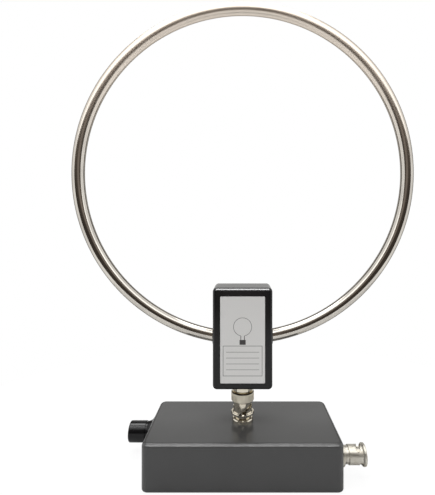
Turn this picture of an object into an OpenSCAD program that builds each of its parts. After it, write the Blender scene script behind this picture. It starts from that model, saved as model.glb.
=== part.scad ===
// Table-top active loop antenna: a stainless loop on a small amplifier head, plugged by a
// bayonet coaxial connector into a base box with a tuning knob and an outgoing coaxial plug.
// Millimetres, +Z up. The origin is at the middle of the base's underside, below the
// connector's axis. The front faces -Y, the knob is at -X and the outgoing plug at +X.

/* [Base box] */
// Width of the base box, side wall to side wall
base_w = 117; // [108:1:140]
// Depth of the base box, front to back
base_d = 56; // [50:1:70]
// Height of the base box
base_h = 27.5; // [26:0.5:36]
// Thickness of the base box's walls
base_wall = 2.6; // [2.2:0.1:3.2]
// Radius of the box's upright corners, seen from above
base_corner_r = 4.2; // [4.2:0.2:8]
// Rounding of the box's top edge
base_edge_r = 2.4; // [1:0.2:3]
// Rounding of the box's bottom edge
base_foot_r = 0.8; // [0.4:0.2:1.8]
// Thickness of the bottom cover
cover_t = 2; // [1.7:0.1:2.6]
// Radius of the bosses that take the cover screws
cover_boss_r = 3.4; // [2.8:0.1:4]
// Height of those bosses above the cover
cover_boss_h = 5; // [4.5:0.5:5]

/* [Base electronics] */
// Thickness of the circuit boards
board_t = 1.6; // [1:0.2:2]
// Depth of the main board, front to back
board_d = 40; // [34:1:42]
// How far the tuning control and the outgoing plug reach into the box
side_reach = 9.5; // [8.5:0.5:11]
// Width of the flat battery cell
battery_w = 50; // [40:1:60]
// Depth of the flat battery cell
battery_d = 34; // [25:1:38]
// Thickness of the flat battery cell
battery_t = 6; // [4:0.5:8]
// Place of the power switch along the back
switch_x = -20; // [-28:1:-12]
// Travel of the power switch's slider, each way from the middle
switch_travel = 1.5; // [1:0.25:2]
// Place of the charge socket along the back
socket_x = 12; // [6:1:18]
// Place of the charge lamp along the back
lamp_x = 24; // [22:1:28]

/* [Tuning knob] */
// Distance of the knob's axis from the box's back
knob_inset = 16; // [14:0.5:19]
// Radius of the knob's grip
knob_r = 6.7; // [6.4:0.1:9]
// Length of the knob's grip
knob_grip_len = 11.5; // [10:0.5:16]
// Radius of the knob's flared skirt
knob_skirt_r = 8.8; // [8.4:0.1:11]
// Length of the knob's flared skirt
knob_skirt_len = 5.2; // [4.6:0.1:7]
// Gap between the knob's skirt and the box
knob_gap = 0.8; // [0.5:0.1:1.5]
// Radius of the control's shaft
shaft_r = 3; // [2.5:0.1:3.2]
// Radius of the control's threaded bush
bush_r = 3.75; // [3.7:0.05:4.2]
// Radius of the control's body
control_r = 6.5; // [6:0.1:6.8]

/* [Bayonet connectors] */
// Radius of a jack's barrel
jack_r = 4.8; // [4.7:0.02:4.84]
// Radius of the bayonet lugs
lug_r = 1; // [0.9:0.05:1.1]
// Radius out to the tips of the lugs
lug_tip_r = 5.5; // [5.4:0.05:5.7]
// Distance from the lugs to the jack's mouth
lug_to_mouth = 4.2; // [3.6:0.1:4.8]
// Direction of one lug, seen from above (0 is the right)
lug_angle = 10; // [-90:5:90]
// Quarter turn that releases the coupling nut
ramp_turn = 90; // [70:5:90]
// Rise of the coupling nut over that turn
ramp_rise = 2.4; // [1.6:0.1:2.6]
// Radius of a coupling nut's bore
nut_bore_r = 4.95; // [4.9:0.01:5.05]
// Radius of the loop coupling nut's slotted barrel
nut_barrel_r = 5.95; // [5.8:0.05:6.1]
// Radius of the loop coupling nut's rim
nut_rim_r = 7.3; // [7:0.05:7.5]
// Radius of a plug's contact sleeve
sleeve_r = 4.05; // [3.95:0.01:4.08]
// Wall of a plug's contact sleeve
sleeve_wall = 0.55; // [0.45:0.05:0.7]
// Radius of a plug's centre pin
pin_r = 0.675; // [0.6:0.025:0.7]
// Thickness of a plug's seal ring
seal_t = 0.7; // [0.5:0.1:1]

/* [Loop connector] */
// Height of the jack's round flange
jack_flange_h = 2.5; // [2:0.1:4]
// Radius of the jack's round flange
jack_flange_r = 6.65; // [6:0.05:7.4]
// Rounding of the flange's upper edge
jack_flange_round = 1.1; // [0.4:0.1:1.4]
// Gap between the jack's flange and the coupling nut
nut_gap = 2.2; // [1:0.1:3]
// Distance from the coupling nut's mouth to the locked lugs
nut_lug_depth = 6.8; // [6.4:0.1:8]
// Length of the coupling nut's rim
nut_rim_len = 1.7; // [1.2:0.1:2.4]
// Length of the coupling nut's grip ring
nut_grip_len = 5.6; // [5:0.1:6.4]
// Radius of the coupling nut's grip ring
nut_grip_r = 7.2; // [6.8:0.05:7.4]
// Thickness of the coupling nut's inner lip
nut_lip_t = 1.75; // [1.2:0.05:2]
// Neck left bare between the coupling nut and the plug's flange
plug_neck_len = 0.8; // [0.6:0.1:2.5]
// Radius of the plug's flange below the head
plug_flange_r = 6.6; // [5.8:0.1:7.5]
// Height of the plug's flange below the head
plug_flange_h = 3.7; // [3:0.1:6]

/* [Outgoing connector] */
// Distance of the outgoing plug's axis from the box's front
out_inset = 14; // [12:0.5:17]
// Radius of the outgoing plug's flange
out_flange_r = 6.6; // [6:0.1:7.4]
// Thickness of the outgoing plug's flange
out_flange_t = 2.5; // [2:0.1:4.5]
// Radius of the outgoing plug's neck
out_neck_r = 5.1; // [5:0.05:5.6]
// Length of the outgoing plug's neck
out_neck_len = 0.8; // [0.8:0.1:3]
// Distance from the outgoing coupling nut's mouth to a locked lug
out_lug_depth = 4.8; // [4.6:0.1:5.6]
// Radius of the outgoing coupling nut's slotted barrel
out_barrel_r = 5.6; // [5.6:0.05:6.1]
// Radius of the outgoing coupling nut's rim
out_rim_r = 6.5; // [6.5:0.05:7.5]
// Length of the outgoing coupling nut's rim
out_rim_len = 1.8; // [1.2:0.1:2.4]
// Length of the outgoing coupling nut's collar round the neck
out_collar_len = 1.6; // [1.2:0.1:2.4]
// Direction of one slot in the outgoing coupling nut
out_slot_angle = 215; // [0:5:355]

/* [Head] */
// Width of the head box
head_w = 37; // [35:0.5:42]
// Depth of the head box, front to back
head_d = 22; // [21:0.5:27]
// Height of the head box
head_h = 63; // [54:1:72]
// Thickness of the head box's walls
head_wall = 2; // [1.6:0.1:2.4]
// Radius of the head box's corners, seen from the front
head_corner_r = 2.6; // [2:0.1:4]
// Rounding of the head box's front and back edges
head_edge_r = 2; // [0.6:0.1:2]
// Depth of the head's front cover
head_cover_d = 4; // [3.4:0.1:4.4]
// Width of the label plate
label_w = 27.6; // [20:0.2:28.4]
// Height of the label plate
label_h = 53.5; // [36:0.5:56]
// Thickness of the label plate
label_t = 0.4; // [0.3:0.05:0.6]
// Depth of the recess that holds the label plate
label_recess = 0.5; // [0.4:0.05:0.8]
// How far the label plate sits below the head's middle
label_drop = 0.5; // [0:0.1:1]

/* [Loop] */
// Radius of the loop, to the middle of its tube
loop_r = 106; // [90:0.5:140]
// Radius of the loop's tube
tube_r = 4; // [3:0.1:4.4]
// Wall of the loop's tube
tube_wall = 0.8; // [0.5:0.1:1.2]
// Height in the head at which the tube goes in
tube_entry_h = 31; // [28:0.5:36]
// Width of a tube clamp
clamp_w = 7.8; // [6:0.2:8.4]
// Height of a tube clamp
clamp_h = 18; // [17:0.5:20]
// Thickness of a tube clamp in front of the tube's middle
clamp_t = 6; // [5:0.2:6.6]

/* [Hidden] */
$fn = 64;

// Clearances: pieces fixed in each other, pieces that turn in each other, loose holes
fit_gap = 0.03;
run_gap = 0.1;
hole_gap = 0.2;
// How far a cutting shape runs past the face that it cuts
over = 1;

// Colours, as the photograph shows them
grey_case = [0.27, 0.27, 0.27];
black_case = [0.09, 0.09, 0.095];
gloss_black = [0.05, 0.05, 0.055];
label_silver = [0.79, 0.78, 0.76];
stainless = [0.76, 0.75, 0.72];
nickel = [0.74, 0.71, 0.64];
gold = [0.83, 0.66, 0.32];
white_insulator = [0.93, 0.93, 0.9];
board_green = [0.08, 0.33, 0.18];
dark_rubber = [0.07, 0.07, 0.07];
zinc = [0.66, 0.67, 0.68];

// Levels and places in the base
axis_z = base_h / 2;
knob_y = base_d / 2 - knob_inset;
out_y = out_inset - base_d / 2;
ceiling_z = base_h - base_wall;
inner_w = base_w - 2 * base_wall;
inner_d = base_d - 2 * base_wall;
cover_screw_r = 1.4;
cover_screw_head_r = 2.6;
cover_screw_head_t = 1.4;
screw_sink = 0.1;
cover_screw_len = cover_t + cover_boss_h - 1;
boss_bite = 0.4;
cover_boss_x = inner_w / 2 - cover_boss_r + boss_bite;
cover_boss_y = inner_d / 2 - cover_boss_r + boss_bite;
board_top_z = axis_z + board_t / 2;
board_half_w = inner_w / 2 - side_reach;
board_back_gap = 0.6;
board_back_y = inner_d / 2 - board_back_gap;
board_front_y = board_back_y - board_d;
board_boss_r = 2.8;
board_boss_inset = 4;
board_screw_r = 1;
board_screw_head_r = 2;
board_screw_head_t = 1.3;
board_screw_bite = 5;
board_screw_len = board_t + board_screw_bite;
shield_can_x = 16;
shield_can_inset = 10;
shield_can_size = [14, 16, 4];
battery_x = 6;
battery_y = -2;
panel_nut_af = 12.7;
panel_washer_r = 6.6;
edge_touch = 0.1;

// Fittings in the base's back wall
switch_stem_w = 3;
switch_stem_h = 2;
switch_can = [8.6, 4.2, 3.8];
switch_stem_z = switch_can[2] / 2;
switch_stem_out = 1;
switch_plate_t = 1;
socket_w = 8.9;
socket_h = 3.2;
socket_wall = 0.35;
socket_len = 7.4;
socket_mid_z = socket_h / 2;
lamp_r = 1.2;
lamp_len = 4.4;

// Tuning control and knob
control_len = side_reach - 2.5;
bush_out = 4;
control_washer_t = 0.5;
control_nut_t = 2;
control_nut_af = 9;
wiper_t = 1.6;
wiper_r = control_r - 1.2;
knob_cap_t = 3;
knob_groove = 0.6;

// Studs, nuts and washers of the two connectors in the base
jack_stud_r = 4.7;
jack_stud_len = 6;
jack_nut_t = 1.8;
jack_washer_t = 0.6;
jack_floor = 3;
jack_core_drop = 1;
out_stud_r = 4.7;
out_stud_len = 6;
out_washer_t = 0.6;
out_nut_t = 1.8;

// Levels up the loop connector, from the jack's flange to the head
flange_top_z = base_h + jack_flange_h;
nut_mouth_z = flange_top_z + nut_gap;
lug_z = nut_mouth_z + nut_lug_depth;
jack_mouth_z = lug_z + lug_to_mouth;
seat_gap = 0.05;
shoulder_t = 0.6;
spring_t = 0.35;
seal_z = jack_mouth_z + seat_gap;
shoulder_z = seal_z + seal_t + seat_gap;
spring_z = shoulder_z + shoulder_t + seat_gap;
lip_z = spring_z + spring_t + seat_gap;
nut_len = lip_z + nut_lip_t - nut_mouth_z;
plug_flange_z = nut_mouth_z + nut_len + plug_neck_len;
head_z = plug_flange_z + plug_flange_h;

// Round sizes that the connectors share
shoulder_r = nut_bore_r - 0.2;
journal_r = shoulder_r - 0.35;
lip_r = journal_r + run_gap;
jack_bore_r = sleeve_r + run_gap;
core_r = 2.4;
contact_r = 1.1;
slot_half = lug_r + 0.25;
stud_r = 4;
sleeve_step = 1.2;
hex_round = 0.35;
rim_ease = 0.35;
rim_fillet = 0.4;

// Places of the outgoing plug, along its axis from the box's wall
out_lip_depth = out_lug_depth + lug_to_mouth + seal_t + shoulder_t + 3 * seat_gap;
out_nut_len = out_lip_depth + out_collar_len;
out_nut_u = out_flange_t + out_neck_len + run_gap;
out_mouth_u = out_nut_u + out_nut_len;
out_seal_u = out_mouth_u - out_lug_depth - lug_to_mouth - seat_gap - seal_t;

// Places in the head
head_mid_z = head_z + head_h / 2;
head_front_y = -head_d / 2;
head_split_y = head_front_y + head_cover_d;
head_back_y = head_d / 2 - head_wall;
post_r = 2.6;
post_x = head_w / 2 - head_wall - post_r + 0.3;
post_z = head_h / 2 - head_wall - post_r + 0.3;
head_screw_r = 1.15;
head_screw_head_r = 2.2;
head_screw_head_t = 1.2;
head_screw_bite = 2.4;
plug_nut_t = 2;
plug_nut_af = 10;
transformer_size = [8, 5, 6];
plug_stud_len = head_wall + plug_nut_t + 3;
tube_entry_z = head_z + tube_entry_h;
loop_z = tube_entry_z + sqrt(pow(loop_r, 2) - pow(head_w / 2, 2));
grommet_flange_t = 0.6;
grommet_neck_r = tube_r + 0.9;
grommet_flange_r = tube_r + 1.8;
grommet_z = tube_z(head_w / 2 - head_wall / 2);
clamp_x = head_w / 2 - head_wall - grommet_flange_t - hole_gap - clamp_w / 2;
clamp_z = tube_z(clamp_x);
clamp_split = 0.15;
clamp_screw_r = 1.2;
clamp_screw_head_r = 2.3;
clamp_screw_head_t = 1.5;
clamp_screw_z = (tube_r + clamp_h / 2) / 2;
tube_end_x = clamp_x - clamp_w / 2 - 1;
tube_gap_angle = asin(tube_end_x / loop_r);
head_board_y = stud_r + 0.4;
head_board_half_w = post_x - post_r - 0.4;
head_board_z = head_z + head_wall + plug_nut_t + 0.8;
head_board_top_z = clamp_z - clamp_h / 2 - 0.3;
head_board_screw_x = head_board_half_w - 2.6;
head_board_screw_z = head_board_z + 4.4;
head_boss_r = 2.2;
label_corner_r = 0.6;
lead_r = 0.4;
pin_tail_z = head_z + plug_stud_len + 2.2;

// Height of the tube's middle at a distance x from the loop's upright middle line
function tube_z(x) = loop_z - sqrt(pow(loop_r, 2) - pow(x, 2));

// Radius of a bore that holds a contact of radius r
function contact_bore_r(r) = r + fit_gap;

// Corner radius of a hexagon from its width across the flats
function hex_corner_r(across_flats) = across_flats / 2 / cos(30);

// Basic shapes

// Strip of a box's side, x outwards, with its outer edges rounded at the top and the foot
module edge_profile(x, h, top_r, foot_r) {
    difference() {
        square([x, h]);
        if (top_r > 0)
            translate([x - top_r, h - top_r]) difference() {
                square(top_r + over);
                circle(top_r);
            }
        if (foot_r > 0)
            translate([x - foot_r, -over]) difference() {
                square([foot_r + over, foot_r + over]);
                translate([0, foot_r + over]) circle(foot_r);
            }
    }
}

// Box on the ground plane with round upright corners and rounded top and bottom edges
module soft_box(w, d, h, r, top_r = 0, foot_r = 0) {
    translate([r - w / 2, r - d / 2, 0]) cube([w - 2 * r, d - 2 * r, h]);
    for (side = [[0, w, d], [90, d, w], [180, w, d], [270, d, w]])
        rotate(side[0]) {
            translate([r - side[1] / 2, side[2] / 2 - r, 0])
                rotate([90, 0, 90])
                    linear_extrude(side[1] - 2 * r) edge_profile(r, h, top_r, foot_r);
            translate([side[1] / 2 - r, side[2] / 2 - r, 0])
                rotate_extrude(angle = 90) edge_profile(r, h, top_r, foot_r);
        }
}

// Tube along +Z
module ring(outer_r, inner_r, h) {
    difference() {
        cylinder(r = outer_r, h = h);
        translate([0, 0, -over]) cylinder(r = inner_r, h = h + 2 * over);
    }
}

// Solid of revolution about Z from [radius, height] points
module revolve(points) {
    rotate_extrude() polygon(points);
}

// Hexagon along +Z with its corners eased at both ends
module hexagon(across_flats, h) {
    corner_r = hex_corner_r(across_flats);
    intersection() {
        cylinder(r = corner_r, h = h, $fn = 6);
        revolve([
            [0, 0], [corner_r - 2 * hex_round, 0], [corner_r, hex_round],
            [corner_r, h - hex_round], [corner_r - 2 * hex_round, h], [0, h]
        ]);
    }
}

// Hexagon nut along +Z on a round stud
module hexagon_nut(across_flats, stud, h) {
    difference() {
        hexagon(across_flats, h);
        translate([0, 0, -over]) cylinder(r = stud + fit_gap, h = h + 2 * over);
    }
}

// Cross recess that is cut into a screw head at the ground plane
module cross_recess(head_r) {
    for (turn = [0, 90])
        rotate(turn) translate([-head_r * 0.6, -head_r * 0.12, -over])
            cube([head_r * 1.2, head_r * 0.24, over + head_r * 0.3]);
}

// Countersunk screw with the top of its head on the ground plane, pointing up
module sunk_screw(r, head_r, head_t, len) {
    difference() {
        revolve([[0, 0], [head_r, 0], [r, head_t], [r, len], [0, len]]);
        cross_recess(head_r);
    }
}

// Hole for that screw, with its countersink running out through the ground plane
module sunk_hole(r, head_r, head_t, len) {
    clear_r = r + hole_gap / 2;
    clear_head_r = head_r + hole_gap / 2;
    revolve([
        [0, -over], [clear_head_r, -over], [clear_head_r, 0], [clear_r, head_t], [clear_r, len], [0, len]
    ]);
}

// Pan-head screw with its head below the ground plane and its shank pointing up
module pan_screw(r, head_r, head_t, len) {
    difference() {
        revolve([
            [0, -head_t], [head_r - head_t / 2, -head_t], [head_r, -head_t / 2],
            [head_r, 0], [r, 0], [r, len], [0, len]
        ]);
        translate([0, 0, -head_t]) cross_recess(head_r);
    }
}

// Places

module at_left_wall() {
    translate([-base_w / 2, knob_y, axis_z]) rotate([0, -90, 0]) children();
}

module at_right_wall() {
    translate([base_w / 2, out_y, axis_z]) rotate([0, 90, 0]) children();
}

module at_cover_screws() {
    for (x = [-1, 1], y = [-1, 1]) translate([x * cover_boss_x, y * cover_boss_y, 0]) children();
}

module at_board_screws() {
    for (x = [-1, 1], y = [board_front_y + board_boss_inset, board_back_y - board_boss_inset])
        translate([x * (board_half_w - board_boss_inset), y, board_top_z]) children();
}

// Child shapes have their ground plane turned to face the front, at the head's middle
module facing_front(y) {
    translate([0, y, head_mid_z]) rotate([90, 0, 0]) children();
}

module at_head_posts() {
    for (x = [-1, 1], z = [-1, 1]) translate([x * post_x, z * post_z, 0]) children();
}

module at_clamp_screws() {
    for (x = [-1, 1], z = [-1, 1])
        translate([x * clamp_x, 0, clamp_z + z * clamp_screw_z]) rotate([-90, 0, 0]) children();
}

module at_head_board_screws() {
    for (x = [-1, 1])
        translate([x * head_board_screw_x, head_board_y, head_board_screw_z])
            rotate([-90, 0, 0]) children();
}

// Connector shapes, all along +Z

// Bayonet slot: a round pocket for the locked lug, the ramp that winds down a quarter turn from
// it and the way out to the mouth. The ramp is a flat slab that is tilted across its own middle,
// which follows the lug's screw path to within a twentieth of a millimetre.
module bayonet_slot(lug_depth, barrel_r) {
    inner_r = nut_bore_r - 0.5;
    outer_r = barrel_r + 0.35;
    half_turn = ramp_turn / 2;
    half_run = barrel_r * sin(half_turn);
    tilt = atan(ramp_rise / 2 / half_run);
    near_x = inner_r * cos(half_turn) - 0.3;
    start_z = lug_depth - ramp_rise;
    translate([inner_r, 0, lug_depth]) rotate([0, 90, 0])
        cylinder(r = slot_half + 0.15, h = outer_r - inner_r);
    intersection() {
        rotate(-half_turn) translate([near_x, 0, lug_depth - ramp_rise / 2]) rotate([tilt, 0, 0])
            translate([0, -half_run, -slot_half]) cube([outer_r, 2 * half_run, 2 * slot_half]);
        cylinder(r = outer_r, h = 2 * lug_depth);
    }
    rotate(-ramp_turn) translate([inner_r, -slot_half, -over])
        cube([outer_r - inner_r, 2 * slot_half, start_z + slot_half + over]);
}

// Coupling nut with its mouth on the ground plane: a flat rim, a slotted barrel, then the
// outline given by rear, from the barrel's end on
module bayonet_nut(rim_r, rim_len, barrel_r, rear, lip_depth, len, lug_depth, slot_turn) {
    mouth_ease = 0.4;
    rim = [
        [rim_r - rim_ease, 0], [rim_r, rim_ease], [rim_r, rim_len - rim_ease], [rim_r - rim_ease, rim_len],
        [barrel_r + rim_fillet, rim_len], [barrel_r, rim_len + rim_fillet]
    ];
    difference() {
        revolve(concat(
            [[nut_bore_r, mouth_ease], [nut_bore_r + mouth_ease, 0]],
            rim,
            rear,
            [[lip_r, len], [lip_r, lip_depth], [nut_bore_r, lip_depth]]
        ));
        for (turn = [0, 180]) rotate(slot_turn + turn) bayonet_slot(lug_depth, barrel_r);
    }
}

// Contact sleeve of a plug, hanging below the ground plane, slit into four fingers
module contact_sleeve(len) {
    slit_w = 0.5;
    difference() {
        translate([0, 0, -len]) ring(sleeve_r, sleeve_r - sleeve_wall, len);
        for (turn = [45, 135])
            rotate(turn) translate([-sleeve_r - over, -slit_w / 2, -len - over])
                cube([2 * (sleeve_r + over), slit_w, len * 0.6 + over]);
    }
}

// Bore of a plug's body that holds its insulator, from the ground plane up
module insulator_bore(len) {
    translate([0, 0, -over]) cylinder(r = core_r + fit_gap, h = len + 2 * over);
}

// Insulator with a bore for its contact
module insulator(len) {
    ring(core_r, contact_bore_r(pin_r), len);
}

// Base box

module base_shell() {
    color(grey_case) difference() {
        union() {
            difference() {
                soft_box(base_w, base_d, base_h, base_corner_r, base_edge_r, base_foot_r);
                translate([0, 0, -over])
                    soft_box(inner_w, inner_d, ceiling_z + over, base_corner_r - base_wall);
            }
            at_cover_screws() translate([0, 0, cover_t]) cylinder(r = cover_boss_r, h = cover_boss_h);
            at_board_screws() cylinder(r = board_boss_r, h = ceiling_z - board_top_z);
        }
        at_cover_screws() cylinder(r = cover_screw_r + fit_gap, h = cover_t + cover_boss_h - 0.6);
        at_board_screws() translate([0, 0, -over])
            cylinder(r = board_screw_r + fit_gap, h = board_screw_len + over);
        translate([0, 0, ceiling_z - over])
            cylinder(r = jack_stud_r + hole_gap / 2, h = base_wall + 2 * over);
        at_left_wall() translate([0, 0, -base_wall - over])
            cylinder(r = bush_r + hole_gap / 2, h = base_wall + 2 * over);
        at_right_wall() translate([0, 0, -base_wall - over])
            cylinder(r = out_stud_r + hole_gap / 2, h = base_wall + 2 * over);
        at_switch() translate([0, base_wall / 2, switch_stem_z])
            cube([switch_stem_w + 2 * (switch_travel + hole_gap), base_wall + 2 * over,
                  switch_stem_h + 2 * hole_gap], center = true);
        at_socket() translate([0, -over, socket_mid_z]) socket_outline(hole_gap, base_wall + 2 * over);
        at_lamp() rotate([-90, 0, 0]) translate([0, 0, -over])
            cylinder(r = lamp_r + fit_gap, h = base_wall + 2 * over);
    }
}

module base_cover() {
    color(grey_case) difference() {
        soft_box(inner_w - 2 * hole_gap, inner_d - 2 * hole_gap, cover_t,
                 base_corner_r - base_wall - hole_gap);
        at_cover_screws() translate([0, 0, screw_sink])
            sunk_hole(cover_screw_r, cover_screw_head_r, cover_screw_head_t, cover_t + over);
    }
}

module cover_screws() {
    color(zinc) at_cover_screws() translate([0, 0, screw_sink])
        sunk_screw(cover_screw_r, cover_screw_head_r, cover_screw_head_t, cover_screw_len);
}

module main_board() {
    color(board_green) difference() {
        translate([-board_half_w, board_front_y, board_top_z - board_t])
            cube([2 * board_half_w, board_d, board_t]);
        at_board_screws() translate([0, 0, -board_t - over])
            cylinder(r = board_screw_r + hole_gap, h = board_t + 2 * over);
    }
}

module board_screws() {
    color(zinc) at_board_screws() translate([0, 0, -board_t])
        pan_screw(board_screw_r, board_screw_head_r, board_screw_head_t, board_screw_len - 0.4);
}

// Folded tin can over the amplifier stage, open below
module shield_can() {
    size = shield_can_size;
    tin = 0.4;
    color(nickel) translate([shield_can_x, board_front_y + shield_can_inset, board_top_z]) difference() {
        cube(size);
        translate([tin, tin, -over]) cube([size[0] - 2 * tin, size[1] - 2 * tin, size[2] - tin + over]);
    }
}

module battery() {
    seam = 1.2;
    color([0.72, 0.73, 0.75]) translate([battery_x, battery_y, cover_t])
        soft_box(battery_w, battery_d, battery_t, 2.5, seam, seam);
}

// Rear fittings

// Child shapes stand on the main board behind the back wall's inner face, +Y outwards
module at_switch() {
    translate([switch_x, inner_d / 2, board_top_z]) children();
}

module at_socket() {
    translate([socket_x, inner_d / 2, board_top_z]) children();
}

module at_lamp() {
    translate([lamp_x, inner_d / 2, board_top_z + lamp_r + 0.5]) children();
}

// Flat oval along +Y
module socket_outline(grow, len) {
    r = socket_h / 2 + grow;
    half_flat = socket_w / 2 - socket_h / 2;
    rotate([-90, 0, 0]) {
        translate([-half_flat, -r, 0]) cube([2 * half_flat, 2 * r, len]);
        for (x = [-1, 1]) translate([x * half_flat, 0, 0]) cylinder(r = r, h = len);
    }
}

// Tin can of the slide switch, with the chamber that its slider runs in
module switch_body() {
    chamber_w = switch_stem_w + 2 * (switch_plate_t + switch_travel + hole_gap);
    color(zinc) at_switch() translate([0, -switch_can[1] - hole_gap, 0]) difference() {
        translate([-switch_can[0] / 2 - 1, 0, 0]) cube([switch_can[0] + 2, switch_can[1], switch_can[2]]);
        translate([-chamber_w / 2, switch_can[1] - 2.2 - switch_plate_t, switch_stem_z - 1.4])
            cube([chamber_w, switch_plate_t + 1.2, 2.8]);
        translate([-switch_stem_w / 2 - switch_travel - hole_gap, switch_can[1] - 1.6, switch_stem_z - 1.2])
            cube([switch_stem_w + 2 * (switch_travel + hole_gap), 1.6 + over, 2.4]);
    }
}

// Slider: a plate caught in the can's chamber and a stem through the wall
module switch_slider() {
    plate_y = -hole_gap - 2.2 - switch_plate_t + 0.1;
    color(gloss_black) at_switch() {
        translate([-switch_stem_w / 2 - switch_plate_t, plate_y, switch_stem_z - 1.2])
            cube([switch_stem_w + 2 * switch_plate_t, switch_plate_t + 1, 2.4]);
        translate([-switch_stem_w / 2, plate_y + switch_plate_t, switch_stem_z - switch_stem_h / 2])
            cube([switch_stem_w, base_wall + switch_stem_out - plate_y - switch_plate_t, switch_stem_h]);
    }
}

module charge_socket() {
    color(nickel) at_socket() translate([0, base_wall - 0.4 - socket_len, socket_mid_z]) difference() {
        socket_outline(0, socket_len);
        translate([0, 1.2, 0]) socket_outline(-socket_wall, socket_len);
    }
}

// Contact tongue in the middle of the charge socket
module charge_tongue() {
    color(dark_rubber) at_socket()
        translate([-3.2, base_wall - 0.4 - socket_len + 1.2, socket_mid_z - 0.35]) cube([6.4, 5, 0.7]);
}

// Light pipe from the board's lamp to the back wall
module charge_lamp() {
    color([0.75, 0.2, 0.15]) at_lamp() rotate([-90, 0, 0]) translate([0, 0, base_wall - lamp_len])
        revolve([[0, 0], [lamp_r, 0], [lamp_r, lamp_len - 0.3], [lamp_r - 0.3, lamp_len], [0, lamp_len]]);
}

// Tuning knob and its control

module tuning_control() {
    inner_end = -base_wall - control_len;
    chamber_z = inner_end + 1.4;
    chamber_top_z = chamber_z + wiper_t + 2 * run_gap;
    color(zinc) at_left_wall() {
        difference() {
            revolve([
                [0, inner_end], [control_r, inner_end], [control_r, -base_wall],
                [bush_r, -base_wall], [bush_r, bush_out], [0, bush_out]
            ]);
            revolve([
                [0, chamber_z], [wiper_r + hole_gap, chamber_z], [wiper_r + hole_gap, chamber_top_z],
                [shaft_r + run_gap / 2, chamber_top_z], [shaft_r + run_gap / 2, bush_out + over],
                [0, bush_out + over]
            ]);
        }
        for (y = [-1, 0, 1])
            translate([-0.25, y * 4 - 0.6, inner_end - (side_reach - control_len) + edge_touch])
                cube([0.5, 1.2, side_reach - control_len]);
    }
}

module control_washer() {
    color(zinc) at_left_wall() ring(6, bush_r + fit_gap, control_washer_t);
}

module control_nut() {
    color(nickel) at_left_wall() translate([0, 0, control_washer_t])
        hexagon_nut(control_nut_af, bush_r, control_nut_t);
}

// Shaft with the wiper disc that holds it in the control
module control_shaft() {
    wiper_z = -base_wall - control_len + 1.4 + run_gap;
    shaft_end = knob_gap + knob_skirt_len + knob_grip_len - knob_cap_t - 0.2;
    color(zinc) at_left_wall() revolve([
        [0, wiper_z], [wiper_r, wiper_z], [wiper_r, wiper_z + wiper_t], [shaft_r, wiper_z + wiper_t],
        [shaft_r, shaft_end - 0.5], [shaft_r - 0.5, shaft_end], [0, shaft_end]
    ]);
}

// Knob outline: a plain grip with an eased end, a groove and a skirt that flares to the wall
module knob_outline() {
    flare_r = knob_skirt_len;
    root_r = knob_r - 0.3;
    grip_z = knob_gap + knob_skirt_len;
    end_z = grip_z + knob_grip_len;
    ease = 0.9;
    difference() {
        translate([0, knob_gap]) square([knob_skirt_r, knob_skirt_len]);
        translate([root_r + flare_r, grip_z]) circle(flare_r);
    }
    translate([0, grip_z]) square([root_r - knob_groove, knob_groove]);
    translate([0, grip_z + knob_groove]) difference() {
        square([knob_r, knob_grip_len - knob_groove]);
        translate([knob_r - ease, knob_grip_len - knob_groove - ease]) difference() {
            square(ease + over);
            circle(ease);
        }
    }
}

module tuning_knob() {
    well_r = hex_corner_r(control_nut_af) + 0.5;
    well_z = bush_out + 0.5;
    bore_z = knob_gap + knob_skirt_len + knob_grip_len - knob_cap_t;
    color(gloss_black) at_left_wall() difference() {
        rotate_extrude() knob_outline();
        cylinder(r = well_r, h = well_z);
        cylinder(r = shaft_r + fit_gap, h = bore_z);
    }
}

// Jack on the base for the loop's plug

module jack_body() {
    stud_z = ceiling_z - jack_stud_len;
    color(nickel) {
        difference() {
            union() {
                translate([0, 0, stud_z])
                    cylinder(r = jack_stud_r, h = base_h + jack_flange_h / 2 - stud_z);
                translate([0, 0, base_h]) rotate_extrude()
                    edge_profile(jack_flange_r, jack_flange_h, jack_flange_round, 0);
                translate([0, 0, base_h + jack_flange_h / 2])
                    cylinder(r = jack_r, h = jack_mouth_z - base_h - jack_flange_h / 2);
                for (turn = [0, 180])
                    rotate(lug_angle + turn) translate([jack_bore_r + 0.2, 0, lug_z]) rotate([0, 90, 0])
                        cylinder(r = lug_r, h = lug_tip_r - jack_bore_r - 0.2);
            }
            translate([0, 0, stud_z - over]) cylinder(r = core_r + fit_gap, h = jack_mouth_z);
            translate([0, 0, flange_top_z]) cylinder(r = jack_bore_r, h = jack_mouth_z);
        }
    }
}

module jack_insulator() {
    stud_z = ceiling_z - jack_stud_len;
    color(white_insulator) difference() {
        revolve([
            [0, stud_z], [core_r, stud_z], [core_r, flange_top_z], [jack_bore_r - fit_gap, flange_top_z],
            [jack_bore_r - fit_gap, flange_top_z + jack_floor], [core_r, flange_top_z + jack_floor],
            [core_r, jack_mouth_z - jack_core_drop], [0, jack_mouth_z - jack_core_drop]
        ]);
        translate([0, 0, stud_z - over]) cylinder(r = contact_bore_r(contact_r), h = jack_mouth_z);
    }
}

// Centre contact: a tail soldered to the main board and a socket for the plug's pin
module jack_contact() {
    socket_depth = jack_mouth_z - jack_core_drop - lug_z + 2.5;
    color(gold) difference() {
        translate([0, 0, board_top_z])
            cylinder(r = contact_r, h = jack_mouth_z - jack_core_drop - board_top_z);
        translate([0, 0, jack_mouth_z - jack_core_drop - socket_depth])
            cylinder(r = pin_r + run_gap / 2, h = socket_depth + over);
    }
}

module jack_washer() {
    color(zinc) translate([0, 0, ceiling_z - jack_washer_t])
        ring(panel_washer_r, jack_stud_r + fit_gap, jack_washer_t);
}

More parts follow.
